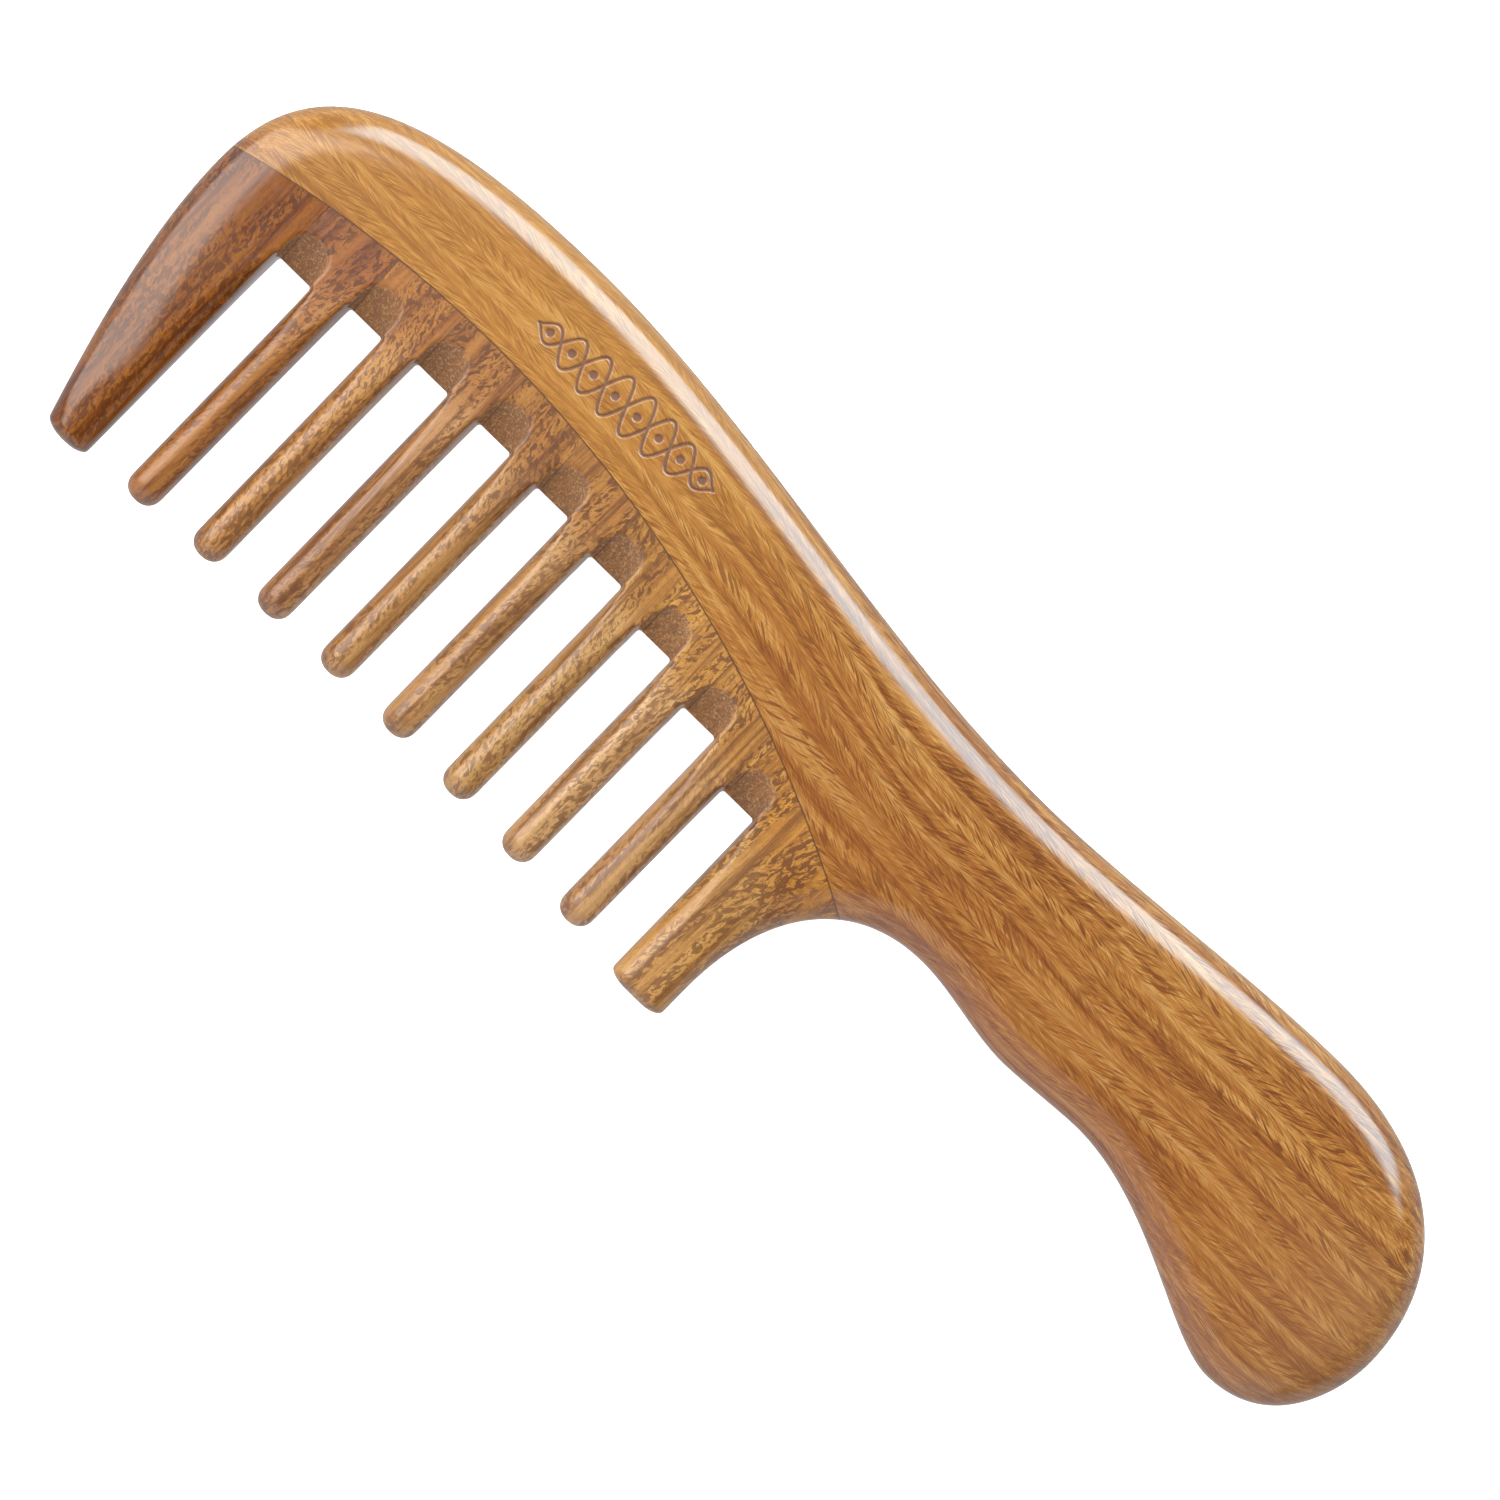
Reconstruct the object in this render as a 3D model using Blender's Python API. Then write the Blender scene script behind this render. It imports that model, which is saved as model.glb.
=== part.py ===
"""Wide tooth comb in wood, laid flat.

A lengthwise plank makes the handle and the spine. Ten cross-grain pieces, a wide guard tooth at
each end and eight slim teeth between them, are glued side by side along a curved joint, each with
a tongue in the spine's groove. Frame: +X towards the end of the handle, +Y towards the spine's
back edge, +Z up through the thickness, origin under the middle of the comb on the resting face.
Sizes below are in millimetres and degrees.
"""

import math

import bmesh
import bpy
from mathutils import Matrix

MM = 0.001

# The whole comb: 200 long, 59.7 wide.
THICKNESS = 11.0
LEFT_END = -100.0
RIGHT_END = 100.0
BACK_EDGE = 29.85
TIP_LINE = -29.85
MIDDLE = THICKNESS / 2

# Knots of the rim, clockwise from the front guard's tip: x, y, heading, reach in, reach out.
FRONT_TIP = (-93.4, -27.7, 106.5, 0.0, 11.0)
FRONT_SIDE = (LEFT_END, 7.4, 90.0, 11.5, 17.0)
SPINE_CREST = (-57.8, BACK_EDGE, 0.0, 28.5, 27.0)
WAIST = (25.4, 21.3, 0.0, 27.8, 13.8)
HANDLE_CREST = (72.0, 23.85, 0.0, 14.8, 17.4)
HANDLE_END = (RIGHT_END, 0.4, -90.0, 14.2, 3.5)
HEEL = (87.0, -14.35, 180.0, 11.0, 6.5)
HOLLOW = (55.0, -3.9, 180.0, 13.0, 2.8)
SWELL = (43.3, -4.55, 180.0, 2.8, 5.2)
NECK = (27.8, -2.6, 180.0, 5.1, 12.4)
REAR_TIP = (9.75, -25.0, -90.0, 12.4, 0.0)

# The joint between spine and teeth, the slots' ends and the teeth's tips lie on three arcs.
# Each is the x and y of its highest point and its radius.
JOINT_ARC = (-61.0, 14.5, 160.0)
SLOT_END_ARC = (-56.9, 6.6, 145.0)
TIP_ARC = (-42.0, -27.5, 470.0)
GLUE_GAP = 0.3

# Slim teeth.
TEETH = 8
PITCH = 10.35
FIRST_TOOTH = -78.7
ROOT_WIDTH = 4.95
TIP_WIDTH = 4.7
FRONT_GUARD_INNER = -86.65
REAR_GUARD_INNER = 1.45
FRONT_WEB_START = -92.0
REAR_WEB_END = 7.0
SEAM_INSET = 0.6
TOOTH_RECESS = 0.05
SHANK_OVERLAP = 3.0
TAPER_START = -4.0
TIP_THICKNESS_SHARE = 0.6

# Tips of the guard teeth: how far the flat end reaches, and its rounded corners.
FRONT_TIP_CORNER = 1.9
REAR_TIP_CORNER = 1.6
REAR_SIDE_GAP = 0.3
REAR_SIDE_TOP = -22.0
REAR_NECK_TOP = -12.0

# Rounding of the edges.
RIM_ROUNDING = 4.5
GUARD_ROUNDING = 1.5
TOOTH_ROUNDING = 1.9
ROUNDING_STEPS = 2

# How far helper shapes reach past the comb, so that every cut is clean.
BELOW_TIPS = -42.0
BELOW_HELPERS = -50.0
BEYOND_FRONT = -112.0
BEYOND_NECK = 30.0
ABOVE_JOINT = 32.0
BEYOND_FACE = 5.0

# Tongue and groove along the joint.
TONGUE_DEPTH = 5.0
TONGUE_THICKNESS = 4.0
TONGUE_ROOT = 1.0
FRONT_TONGUE_START = -94.5
REAR_TONGUE_END = 11.5
GROOVE_START = -95.5
GROOVE_END = 12.5
FIT_GAP = 0.3

# Scoops sanded into the web above each slot, one from each face.
SCOOP_RADIUS = 2.6
SCOOP_RISE = 4.9
SCOOP_DEPTH = 4.4
SCOOP_OVERRUN = 0.5
SCOOP_FOOT = 1.5

# Colours of the wood, as linear red, green and blue.
SPINE_COLOUR = (0.46, 0.20, 0.055)
FRONT_GUARD_COLOUR = (0.33, 0.13, 0.036)
REAR_TOOTH_COLOUR = (0.40, 0.19, 0.055)
WOOD_ROUGHNESS = 0.38


def lerp(a, b, t):
    return a + (b - a) * t


def rim(start, end, steps):
    """Points of the smooth stretch from one knot to the next, without the last one."""
    x0, y0, heading0, _, reach0 = start
    x3, y3, heading3, reach3, _ = end
    x1 = x0 + reach0 * math.cos(math.radians(heading0))
    y1 = y0 + reach0 * math.sin(math.radians(heading0))
    x2 = x3 - reach3 * math.cos(math.radians(heading3))
    y2 = y3 - reach3 * math.sin(math.radians(heading3))
    points = []
    for i in range(steps):
        t = i / steps
        a, b, c, d = (1 - t) ** 3, 3 * t * (1 - t) ** 2, 3 * t * t * (1 - t), t**3
        points.append((a * x0 + b * x1 + c * x2 + d * x3, a * y0 + b * y1 + c * y2 + d * y3))
    return points


def circle(x, y, radius, start, end, steps):
    """Points of a round stretch, from one angle to the other, both included."""
    angles = [math.radians(lerp(start, end, i / steps)) for i in range(steps + 1)]
    return [(x + radius * math.cos(a), y + radius * math.sin(a)) for a in angles]


def arc_y(arc, x, growth=0.0):
    """Height of an arc at x, with its radius grown by growth."""
    peak_x, peak_y, radius = arc
    return peak_y - radius + math.sqrt((radius + growth) ** 2 - (x - peak_x) ** 2)


def along_joint(start, end, growth, step=4.0):
    """Points on the joint arc, its radius grown by growth, from x start to x end."""
    steps = max(2, math.ceil(abs(end - start) / step))
    xs = [lerp(start, end, i / steps) for i in range(steps + 1)]
    return [(x, arc_y(JOINT_ARC, x, growth)) for x in xs]


def tooth_centre(number):
    return FIRST_TOOTH + PITCH * (number - 1)


def gap_sides(number):
    """x of the left and right wall of a slot. Slot 1 is next to the front guard."""
    left = FRONT_GUARD_INNER if number == 1 else tooth_centre(number - 1) + ROOT_WIDTH / 2
    right = REAR_GUARD_INNER if number == TEETH + 1 else tooth_centre(number) - ROOT_WIDTH / 2
    return left, right


def slot_end(number):
    left, right = gap_sides(number)
    return arc_y(SLOT_END_ARC, (left + right) / 2)


def seam(number):
    """x of the glue seam in the web over a slot, close to the slot's left wall."""
    return gap_sides(number)[0] + SEAM_INSET


def make_material(name, colour):
    material = bpy.data.materials.new(name)
    material.use_nodes = True
    shader = material.node_tree.nodes["Principled BSDF"]
    shader.inputs["Base Color"].default_value = (*colour, 1.0)
    shader.inputs["Roughness"].default_value = WOOD_ROUGHNESS
    shader.inputs["Metallic"].default_value = 0.0
    material.diffuse_color = (*colour, 1.0)
    return material


def make_solid(name, points, low, high, rounding=0.0):
    """A closed solid from a flat outline, between two heights, its rim rounded top and bottom."""
    curve = bpy.data.curves.new(name, "CURVE")
    curve.dimensions = "2D"
    curve.fill_mode = "BOTH"
    curve.extrude = ((high - low) / 2 - rounding) * MM
    curve.bevel_depth = rounding * MM
    curve.bevel_resolution = ROUNDING_STEPS
    curve.offset = -rounding * MM
    spline = curve.splines.new("POLY")
    spline.points.add(len(points) - 1)
    for point, (x, y) in zip(spline.points, points):
        point.co = (x * MM, y * MM, 0.0, 1.0)
    spline.use_cyclic_u = True
    outline = bpy.data.objects.new(name + "_outline", curve)
    outline.location.z = (low + high) / 2 * MM
    bpy.context.scene.collection.objects.link(outline)
    bpy.context.view_layer.update()
    graph = bpy.context.evaluated_depsgraph_get()
    mesh = bpy.data.meshes.new_from_object(outline.evaluated_get(graph))
    shape = bmesh.new()
    shape.from_mesh(mesh)
    bmesh.ops.remove_doubles(shape, verts=shape.verts, dist=0.001 * MM)
    bmesh.ops.recalc_face_normals(shape, faces=shape.faces)
    shape.to_mesh(mesh)
    shape.free()
    mesh.name = name
    solid = bpy.data.objects.new(name, mesh)
    solid.matrix_world = outline.matrix_world
    bpy.data.objects.remove(outline)
    solid.data.transform(solid.matrix_world)
    solid.matrix_world = Matrix.Identity(4)
    return solid


def thin_towards_tips(solid):
    """Tapers the thickness evenly about the middle, from TAPER_START down to the tip line."""
    shape = bmesh.new()
    shape.from_mesh(solid.data)
    geometry = shape.verts[:] + shape.edges[:] + shape.faces[:]
    plane = (0.0, TAPER_START * MM, 0.0)
    bmesh.ops.bisect_plane(shape, geom=geometry, plane_co=plane, plane_no=(0.0, 1.0, 0.0))
    for vertex in shape.verts:
        down = (TAPER_START - vertex.co.y / MM) / (TAPER_START - TIP_LINE)
        share = lerp(1.0, TIP_THICKNESS_SHARE, min(max(down, 0.0), 1.0))
        vertex.co.z = MIDDLE * MM + (vertex.co.z - MIDDLE * MM) * share
    shape.to_mesh(solid.data)
    shape.free()


def slant(solid, face, direction):
    """Leans a cutter so that it runs down towards the slot as it goes in from a face."""
    lean = direction * SCOOP_RISE / SCOOP_DEPTH
    leaning = Matrix.Identity(4)
    leaning[1][2] = lean
    leaning[1][3] = -lean * face * MM
    solid.data.transform(leaning)


def put(solid, collection):
    collection.objects.link(solid)
    return solid


def put_cutter(solid):
    put(solid, cutters)
    solid.hide_render = True
    solid.display_type = "WIRE"
    return solid


def combine(solid, cutter, operation):
    modifier = solid.modifiers.new(f"{operation.lower()}_{cutter.name}", "BOOLEAN")
    modifier.operation = operation
    modifier.solver = "EXACT"
    modifier.object = cutter


def finish_piece(solid, colour):
    """Gives a piece its material and hangs it on the comb's empty."""
    solid.data.materials.append(make_material(solid.name + "_wood", colour))
    solid.data.shade_smooth()
    solid.data.set_sharp_from_angle(angle=math.radians(35))
    solid.parent = root
    put(solid, pieces)


def rim_outline():
    """The rim of guards, spine and handle, closed well below the tips of the teeth."""
    stretches = [
        (FRONT_TIP, FRONT_SIDE, 6),
        (FRONT_SIDE, SPINE_CREST, 14),
        (SPINE_CREST, WAIST, 12),
        (WAIST, HANDLE_CREST, 8),
        (HANDLE_CREST, HANDLE_END, 12),
        (HANDLE_END, HEEL, 8),
        (HEEL, HOLLOW, 8),
        (HOLLOW, SWELL, 3),
        (SWELL, NECK, 4),
        (NECK, REAR_TIP, 12),
    ]
    x, y, heading = FRONT_TIP[:3]
    run_out = (y - BELOW_TIPS) / math.tan(math.radians(heading))
    points = [(x - run_out, BELOW_TIPS)]
    for start, end, steps in stretches:
        points += rim(start, end, steps)
    return [*points, REAR_TIP[:2], (REAR_TIP[0], BELOW_TIPS)]


def make_rim(name):
    return make_solid(name, rim_outline(), 0.0, THICKNESS, RIM_ROUNDING)


def region_below_joint(name, left, right, growth):
    """Everything below the joint arc between two x, thicker than the comb."""
    points = along_joint(left, right, growth) + [(right, BELOW_HELPERS), (left, BELOW_HELPERS)]
    return put_cutter(make_solid(name, points, -BEYOND_FACE, THICKNESS + BEYOND_FACE))


def make_spine_and_handle():
    """The plank that is spine and handle, cut off along the joint and grooved there."""
    plank = make_rim("spine_and_handle")
    below = region_below_joint("below_joint", BEYOND_FRONT, BEYOND_NECK, GLUE_GAP / 2)
    combine(plank, below, "DIFFERENCE")
    groove = along_joint(GROOVE_START, GROOVE_END, TONGUE_DEPTH + FIT_GAP)
    groove += along_joint(GROOVE_END, GROOVE_START, -TONGUE_ROOT)
    half = TONGUE_THICKNESS / 2 + FIT_GAP
    groove_cutter = make_solid("groove", groove, MIDDLE - half, MIDDLE + half)
    combine(plank, put_cutter(groove_cutter), "DIFFERENCE")
    finish_piece(plank, SPINE_COLOUR)


def make_scoop(number):
    """The two cutters that round out the web over one slot, joined as one object."""
    left, right = gap_sides(number)
    middle = (left + right) / 2
    end = slot_end(number)
    top = end + SCOOP_RISE - SCOOP_RADIUS
    outline = circle(middle, top, SCOOP_RADIUS, 180.0, 0.0, 10)
    low = end - SCOOP_FOOT
    outline += [(middle + SCOOP_RADIUS, low), (middle - SCOOP_RADIUS, low)]
    deep = SCOOP_DEPTH + SCOOP_OVERRUN
    upper = make_solid(f"scoop_{number}", outline, THICKNESS - deep, THICKNESS + 1.0)
    slant(upper, THICKNESS, 1.0)
    lower = make_solid(f"scoop_{number}_lower", outline, -1.0, deep)
    slant(lower, 0.0, -1.0)
    both = bmesh.new()
    both.from_mesh(upper.data)
    both.from_mesh(lower.data)
    both.to_mesh(upper.data)
    both.free()
    bpy.data.objects.remove(lower)
    return put_cutter(upper)


def tongue(name, left, right):
    """The part of a tooth piece that sits in the spine's groove."""
    points = along_joint(left, right, TONGUE_DEPTH - GLUE_GAP / 2)
    points += along_joint(right, left, -TONGUE_ROOT)
    half = TONGUE_THICKNESS / 2
    return put_cutter(make_solid(name, points, MIDDLE - half, MIDDLE + half))


def make_tooth(number, colour):
    """A slim tooth with the web on its left, its tongue, and the halves of two scoops."""
    left = seam(number) + GLUE_GAP / 2
    right = seam(number + 1) - GLUE_GAP / 2
    centre = tooth_centre(number)
    low, high = slot_end(number), slot_end(number + 1)
    block = along_joint(left, right, -GLUE_GAP / 2)
    block += [(right, high), (centre, high), (centre, low), (left, low)]
    piece = make_solid(f"tooth_{number}", block, 0.0, THICKNESS)
    tip = arc_y(TIP_ARC, centre)
    half_tip = TIP_WIDTH / 2
    bar = circle(centre, tip + half_tip, half_tip, 180.0, 360.0, 8)
    top = max(low, high) + SHANK_OVERLAP
    half_root = ROOT_WIDTH / 2
    bar += [(centre + half_root, high), (centre + half_root, top)]
    bar += [(centre - half_root, top), (centre - half_root, low)]
    shank = make_solid(f"shank_{number}", bar, TOOTH_RECESS, THICKNESS - TOOTH_RECESS, TOOTH_ROUNDING)
    thin_towards_tips(shank)
    combine(piece, put_cutter(shank), "UNION")
    combine(piece, tongue(f"tongue_{number}", left, right), "UNION")
    combine(piece, scoops[number], "DIFFERENCE")
    combine(piece, scoops[number + 1], "DIFFERENCE")
    finish_piece(piece, colour)


def make_guard(name, slot, inner_edge, limits, block_sides, tongue_sides, colour):
    """A wide end tooth, squared up above its slot where it meets the neighbouring tooth."""
    guard = make_rim(name)
    thin_towards_tips(guard)
    edge = make_solid(name + "_edge", inner_edge, TOOTH_RECESS, THICKNESS - TOOTH_RECESS, GUARD_ROUNDING)
    thin_towards_tips(edge)
    combine(guard, put_cutter(edge), "INTERSECT")
    combine(guard, region_below_joint(name + "_region", *limits, -GLUE_GAP / 2), "INTERSECT")
    left, right = block_sides
    block = along_joint(left, right, -GLUE_GAP / 2) + [(right, slot_end(slot)), (left, slot_end(slot))]
    combine(guard, put_cutter(make_solid(name + "_block", block, 0.0, THICKNESS)), "UNION")
    combine(guard, tongue(name + "_tongue", *tongue_sides), "UNION")
    combine(guard, scoops[slot], "DIFFERENCE")
    finish_piece(guard, colour)


def make_front_guard():
    right = seam(1) - GLUE_GAP / 2
    corner = FRONT_TIP_CORNER
    edge = [(BEYOND_FRONT, TIP_LINE)]
    edge += circle(FRONT_GUARD_INNER - corner, TIP_LINE + corner, corner, -90.0, 0.0, 4)
    edge += [(FRONT_GUARD_INNER, ABOVE_JOINT), (BEYOND_FRONT, ABOVE_JOINT)]
    limits = (BEYOND_FRONT, right)
    block_sides = (FRONT_WEB_START, right)
    tongue_sides = (FRONT_TONGUE_START, right)
    make_guard("front_guard_tooth", 1, edge, limits, block_sides, tongue_sides, FRONT_GUARD_COLOUR)


def make_rear_guard():
    left = seam(TEETH + 1) + GLUE_GAP / 2
    corner = REAR_TIP_CORNER
    edge = circle(REAR_GUARD_INNER + corner, TIP_LINE + corner, corner, 180.0, 270.0, 4)
    edge += circle(REAR_TIP[0] - corner, TIP_LINE + corner, corner, -90.0, 0.0, 4)
    edge += [(REAR_TIP[0] + REAR_SIDE_GAP, REAR_SIDE_TOP), (BEYOND_NECK, REAR_NECK_TOP)]
    edge += [(BEYOND_NECK, ABOVE_JOINT), (REAR_GUARD_INNER, ABOVE_JOINT)]
    limits = (left, BEYOND_NECK)
    block_sides = (left, REAR_WEB_END)
    tongue_sides = (left, REAR_TONGUE_END)
    name = "rear_guard_tooth"
    make_guard(name, TEETH + 1, edge, limits, block_sides, tongue_sides, REAR_TOOTH_COLOUR)


def tooth_colour(number):
    share = (number - 1) / (TEETH - 1)
    return [lerp(a, b, share) for a, b in zip(FRONT_GUARD_COLOUR, REAR_TOOTH_COLOUR)]


for old in list(bpy.data.objects):
    bpy.data.objects.remove(old)

pieces = bpy.data.collections.new("wide_tooth_comb")
cutters = bpy.data.collections.new("cutters")
bpy.context.scene.collection.children.link(pieces)
bpy.context.scene.collection.children.link(cutters)
root = bpy.data.objects.new("comb_root", None)
pieces.objects.link(root)

scoops = {number: make_scoop(number) for number in range(1, TEETH + 2)}
make_spine_and_handle()
make_front_guard()
for tooth in range(1, TEETH + 1):
    make_tooth(tooth, tooth_colour(tooth))
make_rear_guard()
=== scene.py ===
"""The wide tooth comb as a finished visual model.

Each of the comb's eleven glued pieces gets a fine skin. One field says how far a point is inside
or outside the sanded comb, a net is drawn over it, and the pieces are cut from that net along the
joint and the seams, with their tongues and groove. The wood is procedural. Frame: +X towards the
end of the handle, +Y towards the spine's back edge, +Z up. Sizes are in millimetres unless a name
says otherwise.
"""

import math

import bmesh
import bpy
import numpy as np
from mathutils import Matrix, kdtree


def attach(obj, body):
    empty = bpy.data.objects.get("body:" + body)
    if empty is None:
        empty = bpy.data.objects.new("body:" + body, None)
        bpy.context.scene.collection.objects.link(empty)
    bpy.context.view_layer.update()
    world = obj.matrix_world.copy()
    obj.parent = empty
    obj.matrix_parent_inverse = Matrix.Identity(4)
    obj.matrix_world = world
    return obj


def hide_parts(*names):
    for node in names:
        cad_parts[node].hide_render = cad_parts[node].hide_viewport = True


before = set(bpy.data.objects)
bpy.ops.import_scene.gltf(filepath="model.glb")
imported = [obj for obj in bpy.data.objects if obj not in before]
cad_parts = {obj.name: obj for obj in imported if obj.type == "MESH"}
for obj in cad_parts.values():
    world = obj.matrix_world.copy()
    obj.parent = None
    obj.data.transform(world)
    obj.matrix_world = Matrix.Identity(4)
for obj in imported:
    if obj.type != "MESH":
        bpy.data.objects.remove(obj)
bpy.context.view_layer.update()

MM = 0.001

# The comb's sizes, as in the CAD model.
THICKNESS = 11.0
MIDDLE = THICKNESS / 2
LEFT_END = -100.0
RIGHT_END = 100.0
BACK_EDGE = 29.85
TIP_LINE = -29.85

# Knots of the rim, clockwise from the front guard's tip: x, y, heading, reach in, reach out.
FRONT_TIP = (-93.4, -27.7, 106.5, 0.0, 11.0)
FRONT_SIDE = (LEFT_END, 7.4, 90.0, 11.5, 17.0)
SPINE_CREST = (-57.8, BACK_EDGE, 0.0, 28.5, 27.0)
WAIST = (25.4, 21.3, 0.0, 27.8, 13.8)
HANDLE_CREST = (72.0, 23.85, 0.0, 14.8, 17.4)
HANDLE_END = (RIGHT_END, 0.4, -90.0, 14.2, 3.5)
HEEL = (87.0, -14.35, 180.0, 11.0, 6.5)
HOLLOW = (55.0, -3.9, 180.0, 13.0, 2.8)
SWELL = (43.3, -4.55, 180.0, 2.8, 5.2)
NECK = (27.8, -2.6, 180.0, 5.1, 12.4)
REAR_TIP = (9.75, -25.0, -90.0, 12.4, 0.0)
KNOTS = [
    FRONT_TIP, FRONT_SIDE, SPINE_CREST, WAIST, HANDLE_CREST, HANDLE_END, HEEL, HOLLOW, SWELL, NECK,
    REAR_TIP,
]
BELOW_TIPS = -42.0

# Joint, slot ends and tooth tips lie on arcs: x and y of the highest point, and the radius.
JOINT_ARC = (-61.0, 14.5, 160.0)
SLOT_END_ARC = (-56.9, 6.6, 145.0)
TIP_ARC = (-42.0, -27.5, 470.0)

# Teeth.
TEETH = 8
PITCH = 10.35
FIRST_TOOTH = -78.7
ROOT_WIDTH = 4.95
TIP_WIDTH = 4.7
FRONT_GUARD_INNER = -86.65
REAR_GUARD_INNER = 1.45
SEAM_INSET = 0.6
TAPER_START = -4.0
TAPER_EASE = 4.0
REAR_LIMIT = 30.0
TIP_THICKNESS_SHARE = 0.6
TIP_SQUARENESS = 2.3
SLOT_CORNER = 0.45

# Sanded edges: how far in from the edge the rounding starts and how full it is, on the rim and
# beside the slots. Beside the slots it fades out upwards, from and to these heights over their end.
RIM_REACH = 7.0
TIP_RIM_REACH = 2.8
TIP_RIM_HEIGHTS = (-14.0, -27.0)
RIM_FULLNESS = 2.5
TOOTH_REACH = 2.4
GUARD_REACH = 3.0
GUARD_END_REACH = 1.3
ROOT_REACH = 0.75
GUARD_BLEND = 1.0
SLOT_FULLNESS = 2.15
ROUNDING_ABOVE = -0.5
ROUNDING_BELOW = -17.0
ROUNDING_EASE = 2.5

# Scoops over the slots, and where their raw wood starts and is full: how far out of the scoop's
# wall, how far inside the sanded body, and how high over the end of the slot.
SCOOP_RISE = 4.9
SCOOP_DEPTH = 4.4
SCOOP_EDGE = 0.32
RAW_OUT = (0.12, 0.02)
RAW_INSIDE = (-0.04, -0.22)
RAW_HEIGHTS = (-0.5, 0.1)

# The engraved ornament on the spine.
ORNAMENT_SPOT = (-44.0, 20.2)
ORNAMENT_LENGTH = 29.0
ORNAMENT_SWING = 3.0
ORNAMENT_WAVES = 4
ORNAMENT_LINE = 0.27
ORNAMENT_DOT = 0.35
ORNAMENT_DEPTH = 0.22
ORNAMENT_FLOOR = 0.3
ORNAMENT_CUTS = 3
ORNAMENT_MARGINS = (1.0, 1.5)
TOP_FACING = 0.7
TOP_LAYER = 1.0

# Glue line and the tongue and groove behind it.
GLUE_HALF_GAP = 0.006
TONGUE_DEPTH = 5.0
TONGUE_HALF = 2.0
FIT_GAP = 0.3
GROOVE_START = -95.5
GROOVE_END = 12.5
FRONT_TONGUE_START = -94.5
REAR_TONGUE_END = 11.5
TONGUE_STEP = 1.5

# The nets: how fine they are, how far they go past a piece, and how they settle on the surface.
RIM_SAMPLES = 900
RIM_GRID = 0.4
RIM_MARGIN = 3.0
PLANK_PITCH = 0.42
TOOTH_PITCH = 0.26
NET_MARGIN = 1.2
BOX_MARGIN = 1.0
SLOPE_STEP = 0.02
SETTLE_ROUNDS = 3
SETTLE_SHARE = 0.6
SETTLE_PUSHES = 2
LEAST_SLOPE = 0.05
TINY = 1e-9
CUT_TOLERANCE = 1e-5
WELD = 1e-4
SHARP_ANGLE = math.radians(50)
FAR = 1000.0

# Finish, glue lines and engraving.
FINISH_SPECULAR = 1.0
FINISH_IOR = 1.6
PLANK_ROUGHNESS = 0.19
TOOTH_ROUGHNESS = 0.30
FRONT_ROUGHNESS = 0.14
RAW_ROUGHNESS = 0.85
ENGRAVED_ROUGHNESS = 0.65
FIBRE_ROUGHNESS = 0.10
PLANK_BUMP = 0.006
TOOTH_BUMP = 0.012
GLUE_COLOUR = (0.10, 0.035, 0.012)
GLUE_REACH = 0.16
GLUE_CORE = 0.3
JOINT_SHARE = 0.8
SEAM_SHARE = 0.45
BURNT_COLOUR = (0.16, 0.052, 0.022)
BURNT_SHARE = 0.85

# Figures of the wood: how fast a noise changes along its three axes, per mm, and then its detail,
# roughness and distortion.
PLANK_SWAY = ((0.025, 0.16, 0.05), 1.0, 0.5, 0.0)
PLANK_STROKES = ((5.8, 0.26, 0.55), 4.0, 0.72, 0.0)
PLANK_HAIRS = ((14.0, 0.6, 3.0), 2.0, 0.6, 0.0)
PLANK_STREAKS = ((0.025, 1.25, 0.8), 6.0, 0.68, 0.0)
PLANK_FIBRES = ((0.35, 10.0, 7.0), 2.0, 0.6, 0.0)
PLANK_PATCHES = ((0.03, 0.30, 0.1), 2.0, 0.5, 0.0)
PLANK_DASHES = ((7.0, 0.40, 0.6), 0.0, 0.5, 0.0)
PLANK_CROWD = ((0.06, 0.5, 1.0), 1.0, 0.5, 0.0)
TOOTH_BANDS = ((0.55, 0.012, 0.1), 1.0, 0.5, 0.0)
TOOTH_STREAKS = ((1.9, 0.07, 0.8), 4.0, 0.62, 0.0)
TOOTH_FIBRES = ((8.0, 0.3, 6.0), 2.0, 0.6, 0.0)
TOOTH_BENDS = ((0.5, 0.25, 1.0), 2.0, 0.5, 0.0)
TOOTH_MARKS = ((2.1, 0.85, 0.9), 2.0, 0.55, 0.5)
TOOTH_SPECKS = ((4.2, 1.7, 2.0), 1.0, 0.5, 0.4)
TOOTH_CROWD = ((0.50, 0.05, 1.0), 1.0, 0.5, 0.0)
SCOOP_SPECKLES = ((3.5, 3.0, 3.0), 2.0, 0.6, 0.8)

# Wood of the plank. FLOW bends its ribbons down along the back edge: from and to x, and from and to
# how far. RIM_TURN takes them round the rims. Feathered strokes fold where two ribbons meet.
FLOW = (-45.0, 18.0, 0.0, 8.5)
RIM_TURN = (-6.0, 22.0, 0.4, -0.4)
SWAY_SIZE = 4.0
RIDGE_PITCH = 2.4
FEATHER_ALONG = 0.23
FEATHER_ACROSS = 0.95
STROKE_WEIGHT = 0.95
HAIR_WEIGHT = 0.90
STREAK_WEIGHT = 2.10
FIBRE_WEIGHT = 0.80
PATCH_WEIGHT = 0.60
PLANK_TONE_SHIFT = 2.165
PALE_RIDGE = (2.0, 2.4, 0.0, 0.08)
DARK_RIDGE = (0.35, 0.0, 0.0, -0.08)
PLANK_COLOURS = [
    (0.08, (0.165, 0.038, 0.006)),
    (0.30, (0.290, 0.085, 0.012)),
    (0.50, (0.415, 0.146, 0.023)),
    (0.68, (0.500, 0.205, 0.040)),
    (0.90, (0.620, 0.310, 0.090)),
]
PORE_EDGE = (0.57, 0.61)
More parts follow.
